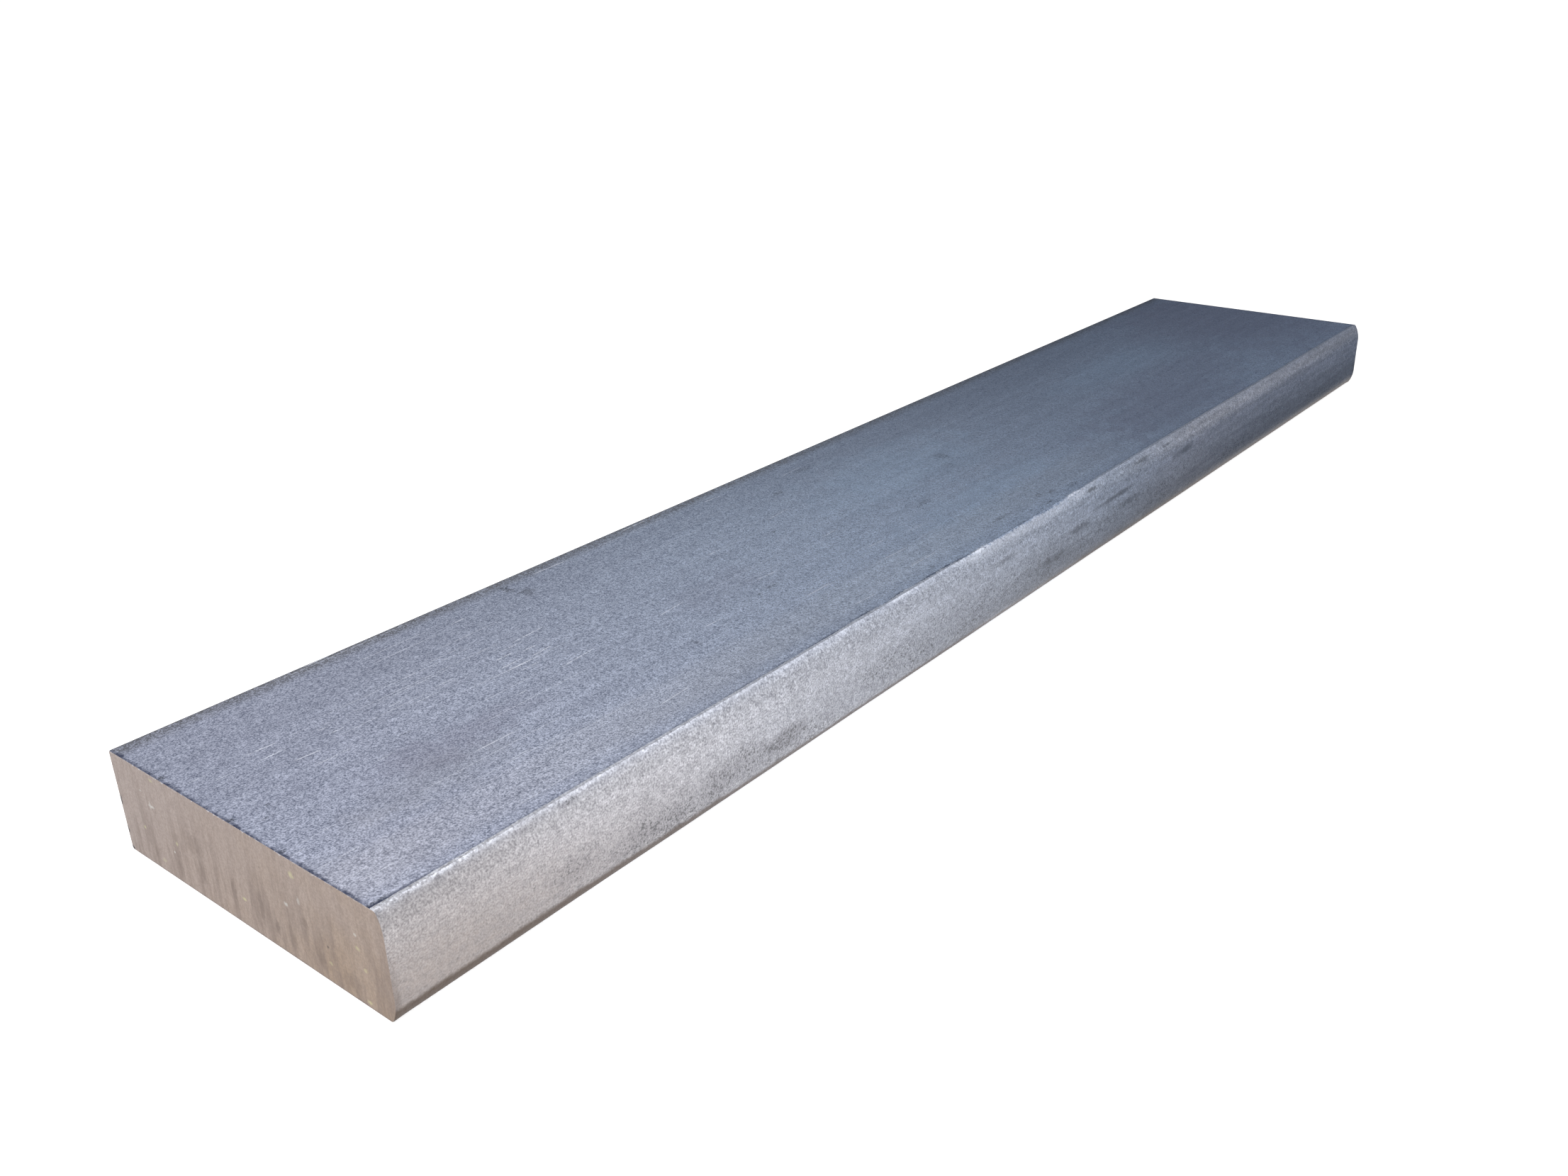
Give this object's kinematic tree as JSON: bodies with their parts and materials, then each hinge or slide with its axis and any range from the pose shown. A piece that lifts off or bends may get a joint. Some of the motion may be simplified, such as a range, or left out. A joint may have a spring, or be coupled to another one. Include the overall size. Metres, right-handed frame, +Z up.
{
  "type": "metal flat bar",
  "caption": "Solid rectangular flat bar of hot-rolled steel with one softly rounded rolled edge, one crisp slit edge and square sawn ends.",
  "frame": {"origin": "centre of the bar's underside", "axes": "+X along the length, +Y across the width from the rolled edge to the slit edge, +Z up through the thickness"},
  "size_m": [0.4, 0.075, 0.02],
  "materials": {
    "rolled_steel": "matte"
  },
  "bodies": {
    "root": {"flat_bar": "rolled_steel"}
  },
  "joints": []
}
